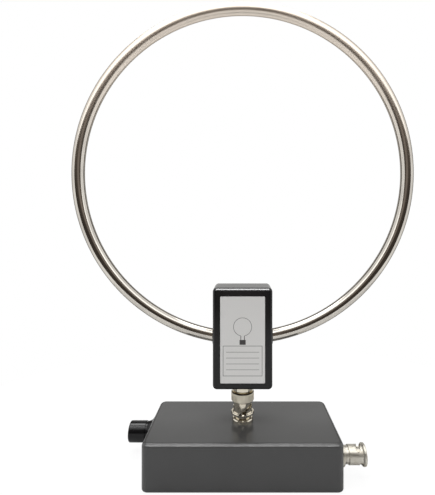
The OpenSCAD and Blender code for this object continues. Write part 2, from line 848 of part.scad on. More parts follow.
module jack_nut() {
    color(nickel) translate([0, 0, ceiling_z - jack_washer_t - jack_nut_t])
        hexagon_nut(panel_nut_af, jack_stud_r, jack_nut_t);
}

// Outgoing plug on the right wall

module out_plug_body() {
    journal_u = out_flange_t + out_neck_len;
    shoulder_u = out_seal_u - seat_gap;
    inner_end = -base_wall - out_stud_len;
    ease = 0.4;
    color(nickel) at_right_wall() {
        difference() {
            revolve([
                [0, inner_end], [out_stud_r, inner_end], [out_stud_r, 0], [out_flange_r, 0],
                [out_flange_r, out_flange_t - ease], [out_flange_r - ease, out_flange_t],
                [out_neck_r, out_flange_t], [out_neck_r, journal_u], [journal_r, journal_u],
                [journal_r, shoulder_u - shoulder_t],
                [shoulder_r, shoulder_u - shoulder_t], [shoulder_r, shoulder_u], [0, shoulder_u]
            ]);
            translate([0, 0, inner_end]) insulator_bore(shoulder_u - inner_end);
        }
        translate([0, 0, shoulder_u]) mirror([0, 0, 1])
            contact_sleeve(out_mouth_u - sleeve_step - shoulder_u);
    }
}

module out_plug_insulator() {
    inner_end = -base_wall - out_stud_len;
    color(white_insulator) at_right_wall() translate([0, 0, inner_end])
        insulator(out_seal_u - seat_gap - inner_end);
}

module out_plug_pin() {
    inner_end = -base_wall - side_reach + edge_touch;
    tip_u = out_mouth_u - 2.4;
    color(gold) at_right_wall()
        revolve([
            [0, inner_end], [pin_r, inner_end], [pin_r, tip_u - 0.6], [pin_r * 0.4, tip_u], [0, tip_u]
        ]);
}

module out_plug_seal() {
    color([0.75, 0.3, 0.2]) at_right_wall() translate([0, 0, out_seal_u])
        ring(shoulder_r, sleeve_r + fit_gap, seal_t);
}

module out_plug_washer() {
    color(zinc) at_right_wall() translate([0, 0, -base_wall - out_washer_t])
        ring(panel_washer_r, out_stud_r + fit_gap, out_washer_t);
}

module out_plug_nut() {
    color(nickel) at_right_wall() translate([0, 0, -base_wall - out_washer_t - out_nut_t])
        hexagon_nut(panel_nut_af, out_stud_r, out_nut_t);
}

module out_coupling_nut() {
    ease = 0.3;
    barrel_end = out_nut_len - out_collar_len;
    color(nickel) at_right_wall() translate([0, 0, out_mouth_u]) mirror([0, 0, 1])
        bayonet_nut(
            out_rim_r, out_rim_len, out_barrel_r,
            [
                [out_barrel_r, barrel_end - ease], [out_barrel_r - ease, barrel_end],
                [out_neck_r, barrel_end], [out_neck_r, out_nut_len]
            ],
            out_lip_depth, out_nut_len, out_lug_depth, out_slot_angle
        );
}

// Loop plug below the head

module plug_seal() {
    color([0.75, 0.3, 0.2]) translate([0, 0, seal_z]) ring(shoulder_r, sleeve_r + run_gap, seal_t);
}

// Spring washer between the plug's shoulder and the coupling nut's lip
module spring_washer() {
    color(zinc) translate([0, 0, spring_z]) ring(nut_bore_r - run_gap, lip_r, spring_t);
}

module coupling_nut() {
    grip_ease = 0.5;
    grip_z = nut_len - nut_grip_len;
    grip_slope = 0.9;
    color(nickel) translate([0, 0, nut_mouth_z])
        bayonet_nut(
            nut_rim_r, nut_rim_len, nut_barrel_r,
            [
                [nut_barrel_r, grip_z - grip_slope], [nut_grip_r, grip_z],
                [nut_grip_r, nut_len - grip_ease], [nut_grip_r - grip_ease, nut_len]
            ],
            lip_z - nut_mouth_z, nut_len, nut_lug_depth, lug_angle
        );
}

module plug_body() {
    stud_end = head_z + plug_stud_len;
    ease = 0.4;
    color(nickel) {
        difference() {
            revolve([
                [0, shoulder_z], [shoulder_r, shoulder_z], [shoulder_r, shoulder_z + shoulder_t],
                [journal_r, shoulder_z + shoulder_t], [journal_r, plug_flange_z],
                [plug_flange_r - ease, plug_flange_z], [plug_flange_r, plug_flange_z + ease],
                [plug_flange_r, head_z], [stud_r, head_z], [stud_r, stud_end], [0, stud_end]
            ]);
            translate([0, 0, shoulder_z]) insulator_bore(stud_end - shoulder_z);
        }
        translate([0, 0, shoulder_z]) contact_sleeve(shoulder_z - nut_mouth_z - 2.4 - sleeve_step);
    }
}

module plug_insulator() {
    color(white_insulator) translate([0, 0, shoulder_z]) insulator(head_z + plug_stud_len - shoulder_z);
}

module plug_pin() {
    tip_z = lug_z - 1.2;
    color(gold) revolve([
        [0, tip_z], [pin_r * 0.4, tip_z], [pin_r, tip_z + 0.6], [pin_r, pin_tail_z], [0, pin_tail_z]
    ]);
}

module plug_nut() {
    color(nickel) translate([0, 0, head_z + head_wall]) hexagon_nut(plug_nut_af, stud_r, plug_nut_t);
}

// Head box

module head_outer() {
    facing_front(head_d / 2) soft_box(head_w, head_h, head_d, head_corner_r, head_edge_r, head_edge_r);
}

module head_inner() {
    facing_front(head_back_y)
        soft_box(head_w - 2 * head_wall, head_h - 2 * head_wall, head_d - 2 * head_wall, 0.6);
}

// Everything behind the plane at y, as wide and high as the head
module behind(y) {
    translate([-head_w, y, head_z - head_h]) cube([2 * head_w, 2 * head_d, 3 * head_h]);
}

// The loop's whole ring of a given tube radius
module whole_loop(r) {
    translate([0, 0, loop_z]) rotate([90, 0, 0])
        rotate_extrude($fn = 128) translate([loop_r, 0]) circle(r);
}

module head_case() {
    color(black_case) difference() {
        union() {
            intersection() {
                difference() {
                    head_outer();
                    head_inner();
                }
                behind(head_split_y);
            }
            facing_front(head_back_y) at_head_posts() cylinder(r = post_r, h = head_back_y - head_split_y);
            for (x = [-1, 1])
                translate([x * clamp_x - clamp_w / 2, clamp_split, clamp_z - clamp_h / 2])
                    cube([clamp_w, head_back_y - clamp_split + head_wall / 2, clamp_h]);
            at_head_board_screws() translate([0, 0, board_t])
                cylinder(r = head_boss_r, h = head_back_y - head_board_y - board_t);
        }
        facing_front(head_d / 2) at_head_posts() translate([0, 0, screw_sink])
            sunk_hole(head_screw_r, head_screw_head_r, head_screw_head_t, head_d);
        whole_loop(tube_r + fit_gap);
        at_clamp_screws() cylinder(r = clamp_screw_r + fit_gap, h = head_back_y - 0.6);
        at_head_board_screws() cylinder(r = board_screw_r + fit_gap, h = head_back_y - head_board_y + 0.6);
        for (x = [-1, 1])
            translate([x * (head_w / 2 - head_wall - over), 0, grommet_z]) rotate([0, x * 90, 0])
                cylinder(r = grommet_neck_r + fit_gap, h = head_wall + 2 * over);
        translate([0, 0, head_z - over]) cylinder(r = stud_r + hole_gap / 2, h = head_wall + 2 * over);
    }
}

module head_cover() {
    tongue = [2 * head_board_half_w, 1.4, 1];
    inner_top = head_h / 2 - head_wall;
    color(black_case) difference() {
        union() {
            difference() {
                difference() {
                    head_outer();
                    head_inner();
                }
                behind(head_split_y);
            }
            facing_front(head_split_y) at_head_posts() cylinder(r = post_r, h = head_cover_d - head_wall);
            for (turn = [0, 180]) translate([0, head_split_y, head_mid_z]) rotate([0, turn, 0]) {
                translate([-tongue[0] / 2, -tongue[1], inner_top - hole_gap - tongue[2]])
                    cube([tongue[0], 2 * tongue[1], tongue[2]]);
                translate([-tongue[0] / 2, -tongue[1], inner_top - hole_gap - tongue[2]])
                    cube([tongue[0], tongue[1], tongue[2] + hole_gap + head_wall / 2]);
            }
        }
        facing_front(head_split_y) at_head_posts() translate([0, 0, -over])
            cylinder(r = head_screw_r + fit_gap, h = over + head_screw_bite);
        translate([0, 0, -label_drop]) facing_front(head_front_y + label_recess)
            soft_box(label_w + 2 * hole_gap, label_h + 2 * hole_gap, label_recess + over,
                     label_corner_r + hole_gap);
    }
}

module head_label() {
    color(label_silver) translate([0, 0, -label_drop]) facing_front(head_front_y + label_recess)
        soft_box(label_w, label_h, label_t, label_corner_r);
}

module head_screws() {
    color(zinc) facing_front(head_d / 2) at_head_posts() translate([0, 0, screw_sink])
        sunk_screw(head_screw_r, head_screw_head_r, head_screw_head_t,
                   head_d - head_cover_d + head_screw_bite - 0.4);
}

module head_board() {
    color(board_green) difference() {
        translate([-head_board_half_w, head_board_y, head_board_z])
            cube([2 * head_board_half_w, board_t, head_board_top_z - head_board_z]);
        at_head_board_screws() translate([0, 0, -over])
            cylinder(r = board_screw_r + hole_gap, h = board_t + 2 * over);
    }
}

module head_board_screws() {
    color(zinc) at_head_board_screws()
        pan_screw(board_screw_r, board_screw_head_r, board_screw_head_t, head_back_y - head_board_y);
}

// Potted matching transformer on the head's board
module transformer() {
    size = transformer_size;
    color(dark_rubber) translate([-size[0] / 2, head_board_y - size[1], head_board_top_z - size[2] - 0.6])
        cube(size);
}

// Stiff wires: one from each tube clamp to the board, one from the plug's pin to the board
module head_leads() {
    lead_y = -clamp_t / 2;
    lead_z = head_board_top_z - 2;
    color(gold) {
        for (x = [-1, 1]) translate([x * (clamp_x - 2), 0, 0]) {
            translate([0, lead_y, lead_z]) cylinder(r = lead_r, h = clamp_z - clamp_h / 2 - lead_z);
            translate([0, lead_y, lead_z]) sphere(lead_r);
            translate([0, lead_y, lead_z]) rotate([-90, 0, 0])
                cylinder(r = lead_r, h = head_board_y - lead_y);
        }
        translate([0, pin_r + fit_gap, pin_tail_z - 2 * lead_r]) rotate([-90, 0, 0])
            cylinder(r = lead_r, h = head_board_y - pin_r - fit_gap);
    }
}

// Loop

module loop_tube() {
    turn = 360 - 2 * tube_gap_angle;
    color(stainless) translate([0, 0, loop_z]) rotate([90, 0, 0]) rotate(tube_gap_angle - 90)
        rotate_extrude(angle = turn, $fn = 128) translate([loop_r, 0]) difference() {
            circle(tube_r);
            circle(tube_r - tube_wall);
        }
}

// Rubber grommets where the tube goes through the head's sides
module tube_grommets() {
    inner_x = head_w / 2 - head_wall - grommet_flange_t;
    color(dark_rubber) difference() {
        for (x = [-1, 1])
            translate([x * inner_x, 0, grommet_z]) rotate([0, x * 90, 0]) revolve([
                [0, 0], [grommet_flange_r, 0], [grommet_flange_r, grommet_flange_t],
                [grommet_neck_r, grommet_flange_t], [grommet_neck_r, grommet_flange_t + head_wall],
                [grommet_flange_r, grommet_flange_t + head_wall],
                [grommet_flange_r - 0.3, 2 * grommet_flange_t + head_wall],
                [0, 2 * grommet_flange_t + head_wall]
            ]);
        whole_loop(tube_r + fit_gap);
    }
}

// Brass bars that clamp the tube's ends against the case
module tube_clamps() {
    color(gold) difference() {
        for (x = [-1, 1])
            translate([x * clamp_x - clamp_w / 2, -clamp_t, clamp_z - clamp_h / 2])
                cube([clamp_w, clamp_t - clamp_split, clamp_h]);
        whole_loop(tube_r + fit_gap);
        at_clamp_screws() translate([0, 0, -clamp_t - over])
            cylinder(r = clamp_screw_r + hole_gap / 2, h = clamp_t + 2 * over);
    }
}

module clamp_screws() {
    color(zinc) at_clamp_screws() translate([0, 0, -clamp_t])
        pan_screw(clamp_screw_r, clamp_screw_head_r, clamp_screw_head_t, clamp_t + head_back_y - 1);
}

base_shell();
base_cover();
cover_screws();
main_board();
board_screws();
shield_can();
battery();
jack_body();
jack_insulator();
jack_contact();
jack_washer();
jack_nut();
out_plug_body();
out_plug_insulator();
out_plug_pin();
out_plug_seal();
out_plug_washer();
out_plug_nut();
out_coupling_nut();
tuning_control();
control_washer();
control_nut();
control_shaft();
tuning_knob();
switch_body();
switch_slider();
charge_socket();
charge_tongue();
charge_lamp();
plug_seal();
spring_washer();
coupling_nut();
plug_body();
plug_insulator();
plug_pin();
plug_nut();
head_case();
head_cover();
head_label();
head_screws();
head_board();
head_board_screws();
transformer();
head_leads();
loop_tube();
tube_grommets();
tube_clamps();
clamp_screws();
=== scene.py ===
"""Looks of a table-top loop antenna: a polished loop on a small head, plugged into a grey base box.

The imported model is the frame. Its nodes get their finishes here, and the loop's tube, the grip's
knurling and the studio are surfaces worked out with numpy, in metres and in the frame's axes.
"""

import logging
import math
from dataclasses import dataclass
from enum import Enum
from typing import Protocol

import bpy
import numpy as np
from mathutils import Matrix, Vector


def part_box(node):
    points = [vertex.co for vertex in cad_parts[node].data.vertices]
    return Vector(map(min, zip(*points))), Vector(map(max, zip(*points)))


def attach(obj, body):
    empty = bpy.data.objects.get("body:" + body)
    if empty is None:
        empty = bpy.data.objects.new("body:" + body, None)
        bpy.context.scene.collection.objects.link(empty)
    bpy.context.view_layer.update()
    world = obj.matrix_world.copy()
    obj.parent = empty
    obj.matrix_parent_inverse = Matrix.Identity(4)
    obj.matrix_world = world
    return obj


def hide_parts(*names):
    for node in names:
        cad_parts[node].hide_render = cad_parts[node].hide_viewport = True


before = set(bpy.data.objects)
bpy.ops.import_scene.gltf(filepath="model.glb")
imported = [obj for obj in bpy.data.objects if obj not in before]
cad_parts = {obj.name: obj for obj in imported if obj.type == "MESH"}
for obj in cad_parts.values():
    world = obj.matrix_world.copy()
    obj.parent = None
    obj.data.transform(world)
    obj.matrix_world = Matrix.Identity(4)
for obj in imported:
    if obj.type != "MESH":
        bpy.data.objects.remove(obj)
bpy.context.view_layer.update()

NODES: dict[str, bpy.types.Object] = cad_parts
log = logging.getLogger("loop_antenna")

Colour = tuple[int, int, int]
Linear = tuple[float, float, float, float]
Triple = tuple[float, float, float]
Pair = tuple[float, float]
Names = tuple[str, ...]
Socket = bpy.types.NodeSocket
Value = Socket | float | Linear | Triple

MM = 0.001
FULL = 255
NONE_TO_ALL = (0.0, 1.0)
ALL_TO_NONE = (1.0, 0.0)
NOISE_RANGE = (0.3, 0.7)
PURE_WHITE = (1.0, 1.0, 1.0, 1.0)
TUBE_GRID = "tube_grid"
CONNECTOR = ("coupling_nut", "jack_body", "plug_body")

WASHER_ZINC = (184, 186, 188)
SCREW_ZINC = (176, 178, 180)
CONTACT_GOLD = (222, 180, 96)
STAINLESS = (214, 209, 200)
INSULATOR_WHITE = (238, 238, 230)
SEAL_RED = (170, 72, 46)
MASK_GREEN = (20, 96, 58)
TRACK_GREEN = (44, 128, 84)


class Axis(Enum):
    """Direction along which a turned or drawn surface carries its fine lines."""

    X = (1.0, 0.0, 0.0)
    Y = (0.0, 1.0, 0.0)
    Z = (0.0, 0.0, 1.0)


class Reach(Enum):
    """Nodes that a linked light falls on, by Blender's word for them."""

    ONLY_THESE = "INCLUDE"
    ALL_OTHERS = "EXCLUDE"


def shade(colour: Colour) -> Linear:
    """Turns a colour as a screen shows it into the linear colour that shaders take.

    The numbers are those of the standard screen curve: straight near black, a power above.

    Args:
        colour: Red, green and blue from 0 to 255.

    Returns:
        Linear red, green, blue and full opacity.
    """
    screen = np.array(colour) / FULL
    straight = screen / 12.92
    curved = ((screen + 0.055) / 1.055) ** 2.4
    return (*np.where(screen <= 0.04045, straight, curved).tolist(), 1.0)


def toned(colour: Colour, factors: Triple) -> Linear:
    """Gives the linear colour of a screen colour whose parts are multiplied.

    Args:
        colour: Red, green and blue from 0 to 255.
        factors: Factors of the three parts.

    Returns:
        Linear red, green, blue and full opacity.
    """
    return shade(tuple(min(FULL, int(part * factor)) for part, factor in zip(colour, factors)))


class NodeTree:
    """A node tree with short calls for adding and joining nodes."""

    def __init__(self, tree: bpy.types.NodeTree) -> None:
        """Takes a tree and empties it.

        Args:
            tree: Node tree of a material or of the world.
        """
        self.tree = tree
        self.tree.nodes.clear()

    def add(self, kind: str, settings: dict[str, str] | None = None, **inputs: Value) -> bpy.types.Node:
        """Adds a node, sets its properties and fills or links its sockets.

        Args:
            kind: Blender's class name of the node.
            settings: Properties of the node.
            **inputs: Socket names, with _ for a space, and their values or the sockets they come from.

        Returns:
            The new node.
        """
        node = self.tree.nodes.new(kind)
        for key, value in (settings or {}).items():
            setattr(node, key, value)
        for key, value in inputs.items():
            self.feed(node.inputs[key.replace("_", " ")], value)
        return node

    def feed(self, socket: Socket, value: Value) -> None:
        """Links a socket to another one, or sets its value.

        Args:
            socket: Input that is fed.
            value: Socket that it is linked to, or its value.
        """
        if isinstance(value, Socket):
            self.tree.links.new(value, socket)
        else:
            socket.default_value = value

    def maths(self, operation: str, *terms: Value) -> Socket:
        """Adds one sum of numbers.

        Args:
            operation: Blender's name of the operation.
            *terms: Numbers or sockets.

        Returns:
            The socket with the result.
        """
        node = self.add("ShaderNodeMath", {"operation": operation})
        for socket, term in zip(node.inputs, terms):
            self.feed(socket, term)
        return node.outputs[0]

    def blend(self, share: Value, first: bpy.types.Node, second: bpy.types.Node) -> bpy.types.Node:
        """Mixes two shaders.

        Args:
            share: Share of the second shader, a number or a socket.
            first: First shader.
            second: Second shader.

        Returns:
            The node with the mix.
        """
        mix = self.add("ShaderNodeMixShader", Fac=share)
        for socket, shader in zip(mix.inputs[1:], (first, second)):
            self.feed(socket, shader.outputs[0])
        return mix


class Sheet(NodeTree):
    """A material's node tree, with the steps that the finishes share."""

    def __init__(self, name: str) -> None:
        """Starts an empty material.

        Args:
            name: Name of the material.
        """
        self.material = bpy.data.materials.new(name)
        self.material.use_nodes = True
        super().__init__(self.material.node_tree)

    def span(self, value: Socket, source: Pair, target: Pair = NONE_TO_ALL) -> Socket:
        """Carries a number smoothly from one range to another.

        Args:
            value: Socket with the number.
            source: Start and end of its range.
            target: Results at the start and at the end.

        Returns:
            The socket with the result.
        """
        node = self.add("ShaderNodeMapRange", {"interpolation_type": "SMOOTHSTEP"}, Value=value)
        keys = ("From Min", "From Max", "To Min", "To Max")
        for key, number in zip(keys, (*source, *target)):
            node.inputs[key].default_value = number
        return node.outputs["Result"]

    def tint(self, amount: Value, first: Value, second: Value) -> Socket:
        """Mixes two colours.

        Args:
            amount: Share of the second colour, a number or a socket.
            first: First colour or its socket.
            second: Second colour or its socket.

        Returns:
            The socket with the mixed colour.
        """
        node = self.add("ShaderNodeMix", {"data_type": "RGBA"})
        self.feed(node.inputs["Factor"], amount)
        self.feed(node.inputs[6], first)
        self.feed(node.inputs[7], second)
        return node.outputs[2]

    def stretch(self, vector: Socket, factors: Triple) -> Socket:
        """Scales a point along each axis.

        Args:
            vector: Socket with the point.
            factors: Factors along the three axes.

        Returns:
            The socket with the scaled point.
        """
        return self.add("ShaderNodeMapping", Vector=vector, Scale=factors).outputs["Vector"]

    def place(self, factors: Triple = (1.0, 1.0, 1.0)) -> Socket:
        """Gives the point on the piece in its own axes, scaled along each.

        Args:
            factors: Factors along the three axes.

        Returns:
            The socket with the point.
        """
        return self.stretch(self.add("ShaderNodeTexCoord").outputs["Object"], factors)

    def noise(self, vector: Socket, patch: float, detail: float = 3.0) -> Socket:
        """Adds soft noise.

        Args:
            vector: Socket with the point.
            patch: About the size of its patches, in metres.
            detail: How many finer layers it has.

        Returns:
            The socket with its height.
        """
        return self.add("ShaderNodeTexNoise", Vector=vector, Scale=1 / patch, Detail=detail).outputs["Fac"]

    def bump(self, height: Socket, depth: float) -> Socket:
        """Turns a height into a tilted surface.

        Args:
            height: Socket with the height, from 0 to 1.
            depth: What a height of 1 stands for, in metres.

        Returns:
            The socket with the surface's normal.
        """
        return self.add("ShaderNodeBump", Height=height, Distance=depth, Strength=1.0).outputs["Normal"]

    def close(self, shader: bpy.types.Node) -> bpy.types.Material:
        """Ends the tree in a shader.

        Args:
            shader: The shader.

        Returns:
            The material.
        """
        self.add("ShaderNodeOutputMaterial", Surface=shader.outputs[0])
        return self.material

    def finish(self, **inputs: Value) -> bpy.types.Material:
        """Ends the tree in a principled shader.

        Args:
            **inputs: The shader's socket names, with _ for a space, and their values or sockets.

        Returns:
            The material.
        """
        return self.close(self.add("ShaderNodeBsdfPrincipled", **inputs))


class Finish(Protocol):
    """What every finish offers."""

    @property
    def name(self) -> str:
        """Name of the material."""

    def material(self) -> bpy.types.Material:
        """Builds the material."""


@dataclass(frozen=True)
class MouldedPlastic:
    """Moulded plastic: fine spark grain, a slow change of tone and uneven gloss."""

    name: str
    colour: Colour
    roughness: float
    grain: float = 0.25 * MM
    depth: float = 0.012 * MM
    tone: float = 0.12
    level: float = 0.5
    patch: float = 30 * MM
    patch_tones: Pair = (0.35, 0.65)
    gloss_swing: float = 0.02

    def material(self) -> bpy.types.Material:
        """Builds the material: grain noise drives the bump, a slower noise the tone and the gloss.

        Returns:
            The material.
        """
        sheet = Sheet(self.name)
        point = sheet.place()
        grain = sheet.noise(point, self.grain, 2.0)
        cloud = sheet.noise(point, self.patch, 1.0)
        dark = toned(self.colour, (1 - self.tone,) * 3)
        pale = toned(self.colour, (1 + self.tone,) * 3)
        gloss = (self.roughness - self.gloss_swing, self.roughness + self.gloss_swing)
        return sheet.finish(
            Base_Color=sheet.tint(sheet.span(cloud, NOISE_RANGE, self.patch_tones), dark, pale),
            Roughness=sheet.span(cloud, NOISE_RANGE, gloss),
            Specular_IOR_Level=self.level,
            Normal=sheet.bump(grain, self.depth),
        )


@dataclass(frozen=True)
class TurnedMetal:
    """Plated metal off the lathe: fine rings round its axis, faint smears and a warm tarnish."""

    name: str
    colour: Colour
    roughness: float
    axis: Axis = Axis.Z
    rings: float = 0.09 * MM
    ring_draw: float = 0.02
    depth: float = 0.0015 * MM
    smear: float = 4 * MM
    gloss_swing: Pair = (0.8, 1.3)
    tarnish: float = 0.25
    tarnish_range: Pair = (0.5, 0.78)
    warmth: Triple = (0.86, 0.8, 0.7)

    def material(self) -> bpy.types.Material:
        """Builds the material: noise drawn out across the axis makes the rings, slow noise the smears.

        Returns:
            The material.
        """
        sheet = Sheet(self.name)
        along = tuple(1.0 if part else self.ring_draw for part in self.axis.value)
        rings = sheet.noise(sheet.place(along), self.rings, 1.0)
        smear = sheet.noise(sheet.place(), self.smear, 4.0)
        stain = sheet.span(smear, self.tarnish_range, (0.0, self.tarnish))
        gloss = tuple(self.roughness * factor for factor in self.gloss_swing)
        return sheet.finish(
            Base_Color=sheet.tint(stain, shade(self.colour), toned(self.colour, self.warmth)),
            Metallic=1.0,
            Roughness=sheet.span(smear, NOISE_RANGE, gloss),
            Normal=sheet.bump(rings, self.depth),
        )


@dataclass(frozen=True)
class DrawnTube:
    """Polished stainless tube: hair lines along its length, a haze of handling that roughens it towards its
    top, and a painted warm reflection that lightens its colour there.
    """

    name: str
    colour: Colour
    roughness: float
    # Painted shade: a dark tint of the reflection at grazing angles, which draws a dark outline along the
    # tube's edges.
    painted_dark_rim: Colour = (60, 58, 56)
    # Painted warm reflection: the lighter, warmer colour that the top of the tube turns to.
    bloom: Colour = (230, 219, 206)
    haze: float = 0.2
    haze_and_painted_warmth_span: Pair = (0.18, 0.265)
    length: float = 0.67
    girth: float = 0.025
    hair: float = 0.1 * MM
    hair_draw: float = 0.015
    hair_depth: float = 0.0006 * MM
    smear: float = 20 * MM
    gloss_swing: Pair = (0.8, 1.25)
    dull_range: Pair = (0.35, 0.7)
    dullness: Triple = (0.93, 0.93, 0.93)

    def material(self) -> bpy.types.Material:
        """Builds the material: noise in metres along and round the tube, drawn out along it.

        Returns:
            The material.
        """
        sheet = Sheet(self.name)
        grid = sheet.add("ShaderNodeUVMap", {"uv_map": TUBE_GRID}).outputs["UV"]
        metres = sheet.stretch(grid, (self.length, self.girth, 1.0))
        hair = sheet.noise(sheet.stretch(metres, (self.hair_draw, 1.0, 1.0)), self.hair, 2.0)
        smear = sheet.noise(sheet.place(), self.smear, 4.0)
        gloss = tuple(self.roughness * factor for factor in self.gloss_swing)
        patchy = sheet.span(smear, NOISE_RANGE, gloss)
        height = sheet.add("ShaderNodeSeparateXYZ", Vector=sheet.place()).outputs["Z"]
        # Share of the top of the tube: it takes both the rougher haze and the painted warm reflection.
        haze_and_painted_warmth = sheet.span(height, self.haze_and_painted_warmth_span)
        dull = sheet.span(smear, self.dull_range)
        bare = sheet.tint(dull, shade(self.colour), toned(self.colour, self.dullness))
        return sheet.finish(
            # Towards the top the colour turns to the painted warm reflection.
            Base_Color=sheet.tint(haze_and_painted_warmth, bare, shade(self.bloom)),
            Metallic=1.0,
            Roughness=sheet.maths("MULTIPLY_ADD", haze_and_painted_warmth, self.haze, patchy),
            # The dark tint at grazing angles paints a dark outline on the tube.
            Specular_Tint=shade(self.painted_dark_rim),
            Normal=sheet.bump(hair, self.hair_depth),
        )


@dataclass(frozen=True)
class LabelFoil:
    """Silver label foil: a fine metal flake, and in plain ink a loop symbol and a ruled panel.

    The symbol is a ring with two leads on a foot. The panel below it is a frame round blank write-in lines.
    """

    name: str
    colour: Colour
    ink: Colour
    panel_centre: Pair
    panel_half: Pair
    ring_centre: Pair
    ring_r: float = 5.6 * MM
    lead_x: float = 1.1 * MM
    lead_len: float = 2.4 * MM
    lead_weight: float = 1.6
    foot_half: Pair = (1.9 * MM, 1.5 * MM)
    line: float = 0.26 * MM
    line_edge: Pair = (0.4, 0.6)
    rules: int = 4
    rule_pitch: float = 3.6 * MM
    rule_inset: float = 1.8 * MM
    rule_weight: float = 1.2
    rule_ink: float = 0.7
    flake: float = 0.12 * MM
    flake_depth: float = 0.004 * MM
    patch: float = 25 * MM
    gloss: Pair = (0.42, 0.52)
    metal: float = 0.1
    dullness: Triple = (0.94, 0.94, 0.94)

    def material(self) -> bpy.types.Material:
        """Builds the material: ink lies where the distance to a drawn line is less than half its width.

        Returns:
            The material.
        """
        sheet = Sheet(self.name)
        point = sheet.place()
        parts = sheet.add("ShaderNodeSeparateXYZ", Vector=point).outputs
        panel = self.panel(sheet, parts["X"], parts["Z"])
        ink = sheet.maths("MAXIMUM", panel, self.symbol(sheet, parts["X"], parts["Z"]))
        flake = sheet.noise(point, self.flake, 2.0)
        cloud = sheet.noise(point, self.patch)
        dull = toned(self.colour, self.dullness)
        foil = sheet.tint(sheet.span(flake, NOISE_RANGE), dull, shade(self.colour))
        return sheet.finish(
            Base_Color=sheet.tint(ink, foil, shade(self.ink)),
            Metallic=self.metal,
            Roughness=sheet.span(cloud, NOISE_RANGE, self.gloss),
            Normal=sheet.bump(flake, self.flake_depth),
        )

    def stroke(self, sheet: Sheet, gap: Socket, weight: float = 1.0) -> Socket:
        """Gives ink where a distance is under half a line's width, with a soft edge.

        Args:
            sheet: Node tree of the label.
            gap: Socket with the distance to the line's middle.
            weight: How many times the plain line's width it has.

        Returns:
            The socket with the ink, 0 or 1.
        """
        edge = tuple(self.line * weight * share for share in self.line_edge)
        return sheet.span(sheet.maths("ABSOLUTE", gap), edge, ALL_TO_NONE)

    def within(self, sheet: Sheet, gap: Socket, half: float) -> Socket:
        """Tells where a distance is under a half width.

        Args:
            sheet: Node tree of the label.
            gap: Socket with the distance.
            half: The half width.

        Returns:
            The socket with 1 where it is, and 0 elsewhere.
        """
        return sheet.maths("LESS_THAN", sheet.maths("ABSOLUTE", gap), half)

    def panel(self, sheet: Sheet, x: Socket, z: Socket) -> Socket:
        """Draws the frame, where the larger overhang past a rectangle is nothing, and its blank lines.

        Args:
            sheet: Node tree of the label.
            x: Socket with the point's X.
            z: Socket with the point's Z.

        Returns:
            The socket with the ink.
        """
        across = sheet.maths("SUBTRACT", x, self.panel_centre[0])
        upright = sheet.maths("SUBTRACT", z, self.panel_centre[1])
        overhang = [
            sheet.maths("SUBTRACT", sheet.maths("ABSOLUTE", gap), half)
            for gap, half in zip((across, upright), self.panel_half)
        ]
        frame_ink = self.stroke(sheet, sheet.maths("MAXIMUM", *overhang))
        half_pitch = self.rule_pitch / 2
        folded = sheet.maths("PINGPONG", upright, half_pitch)
        rules = self.stroke(sheet, sheet.maths("SUBTRACT", folded, half_pitch), self.rule_weight)
        in_width = self.within(sheet, across, self.panel_half[0] - self.rule_inset)
        in_height = self.within(sheet, upright, self.rules * half_pitch)
        for limit in (in_width, in_height, self.rule_ink):
            rules = sheet.maths("MULTIPLY", rules, limit)
        return sheet.maths("MAXIMUM", frame_ink, rules)

    def symbol(self, sheet: Sheet, x: Socket, z: Socket) -> Socket:
        """Draws the ring, where the distance to its middle is its radius, two leads and a foot below.

        Args:
            sheet: Node tree of the label.
            x: Socket with the point's X.
            z: Socket with the point's Z.

        Returns:
            The socket with the ink.
        """
        across = sheet.maths("SUBTRACT", x, self.ring_centre[0])
        upright = sheet.maths("SUBTRACT", z, self.ring_centre[1])
        squares = [sheet.maths("MULTIPLY", gap, gap) for gap in (across, upright)]
        reach = sheet.maths("SQRT", sheet.maths("ADD", *squares))
        ring = self.stroke(sheet, sheet.maths("SUBTRACT", reach, self.ring_r))
        low = sheet.maths("LESS_THAN", upright, 0.0)
        mouth = sheet.maths("MULTIPLY", low, self.within(sheet, across, self.lead_x))
        ring = sheet.maths("MULTIPLY", ring, sheet.maths("SUBTRACT", 1.0, mouth))
        lead_gap = sheet.maths("SUBTRACT", sheet.maths("ABSOLUTE", across), self.lead_x)
        lead_mid = sheet.maths("ADD", upright, self.ring_r + self.lead_len / 2)
        lead_ink = self.stroke(sheet, lead_gap, self.lead_weight)
        leads = sheet.maths("MULTIPLY", lead_ink, self.within(sheet, lead_mid, self.lead_len / 2))
        foot_mid = sheet.maths("ADD", upright, self.ring_r + self.lead_len + self.foot_half[1])
        foot_sides = [
            self.within(sheet, gap, half) for gap, half in zip((across, foot_mid), self.foot_half)
        ]
        foot = sheet.maths("MULTIPLY", *foot_sides)
        return sheet.maths("MAXIMUM", sheet.maths("MAXIMUM", ring, leads), foot)


@dataclass(frozen=True)
class CircuitBoard:
    """Solder mask over copper: paler tracks under a glossy green film."""

    name: str
    mask: Colour = MASK_GREEN
    track: Colour = TRACK_GREEN
    cells_per_metre: float = 300.0
    track_edge: Pair = (0.06, 0.1)
    track_height: float = 0.02 * MM
    patch: float = 5 * MM
    gloss: Pair = (0.25, 0.4)

    def material(self) -> bpy.types.Material:
        """Builds the material: the borders between the cells of a Voronoi noise make the tracks.

        Returns:
            The material.
        """
        sheet = Sheet(self.name)
        point = sheet.place()
        border = {"feature": "DISTANCE_TO_EDGE"}
        cells = sheet.add("ShaderNodeTexVoronoi", border, Vector=point, Scale=self.cells_per_metre)
        tracks = sheet.span(cells.outputs["Distance"], self.track_edge, ALL_TO_NONE)
        return sheet.finish(
            Base_Color=sheet.tint(tracks, shade(self.mask), shade(self.track)),
            Roughness=sheet.span(sheet.noise(point, self.patch), NOISE_RANGE, self.gloss),
            Normal=sheet.bump(tracks, self.track_height),
        )


